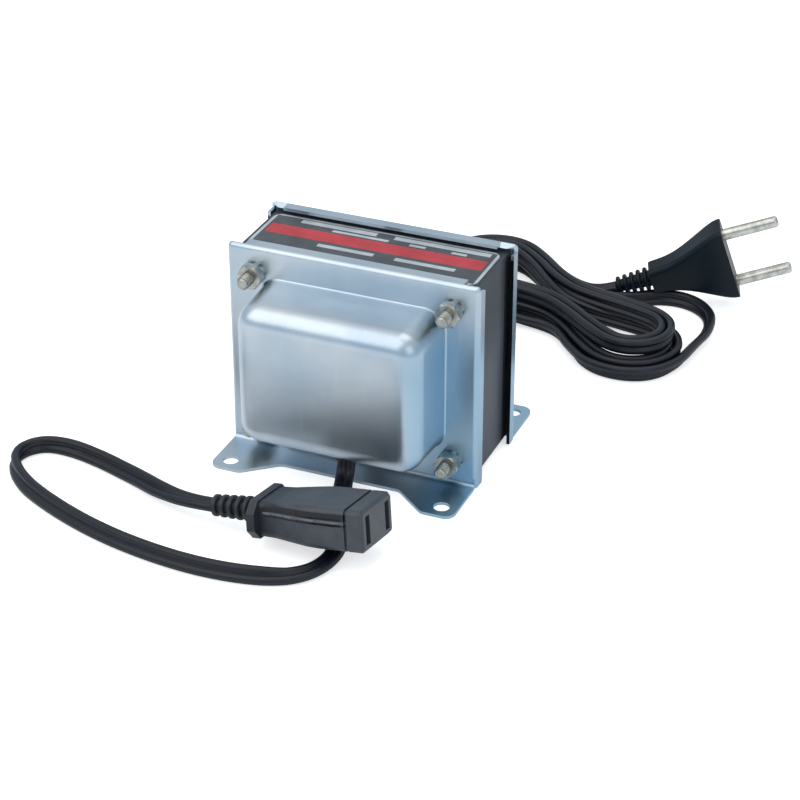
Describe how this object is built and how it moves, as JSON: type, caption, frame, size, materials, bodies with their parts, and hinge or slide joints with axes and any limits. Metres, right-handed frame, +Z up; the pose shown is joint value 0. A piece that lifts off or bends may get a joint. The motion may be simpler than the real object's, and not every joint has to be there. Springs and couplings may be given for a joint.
{
  "type": "step-down travel transformer",
  "caption": "Open laminated-core transformer with drawn steel end bells on feet, a coiled mains lead with a two-pin plug and an output lead with a slotted connector.",
  "frame": {"origin": "on the surface that the feet rest on, under the middle of the laminated core", "axes": "+X along the core's length, to the right of the output bell; +Y from the output bell to the mains bell; +Z up"},
  "size_m": [0.1933, 0.2283, 0.0677],
  "materials": {
    "zinc_steel": "bright zinc plate, satin",
    "core_steel": "black varnish, semi-gloss",
    "fastener_steel": "zinc passivate",
    "former_nylon": "moulded nylon",
    "magnet_wire": "enamelled copper wire",
    "tape": "polyester tape",
    "fibre": "vulcanised fibre",
    "label": "printed foil",
    "black_rubber": "matte",
    "cord_pvc": "flexible PVC",
    "moulded_pvc": "moulded PVC, semi-gloss",
    "lead_pvc": "PVC sleeve",
    "crimp_nylon": "crimp cap",
    "contact_brass": "plain brass",
    "pin_nickel": "bright nickel plate",
    "cutout_metal": "plain"
  },
  "bodies": {
    "root": {"front_bell": "zinc_steel", "rear_bell": "zinc_steel", "e_laminations": "core_steel", "i_laminations": "core_steel", "coil_former": "former_nylon", "primary_winding": "magnet_wire", "winding_barrier": "tape", "secondary_winding": "magnet_wire", "outer_wrap": "tape", "through_bolts": "fastener_steel", "hex_nuts": "fastener_steel", "lock_washers": "fastener_steel", "fibre_washers": "fibre", "bolt_sleeves": "fibre", "label_plate": "label", "output_grommet": "black_rubber", "input_grommet": "black_rubber", "output_leads": "lead_pvc", "output_crimps": "crimp_nylon", "input_leads": "lead_pvc", "input_crimps": "crimp_nylon", "thermal_cutout": "cutout_metal", "output_cord": "cord_pvc", "connector_body": "moulded_pvc", "connector_contacts": "contact_brass", "connector_boot": "moulded_pvc", "input_cord": "cord_pvc", "input_cord_hank": "cord_pvc", "input_cord_plug_end": "cord_pvc", "plug_body": "moulded_pvc", "plug_pins": "pin_nickel", "plug_boot": "moulded_pvc"}
  },
  "joints": []
}
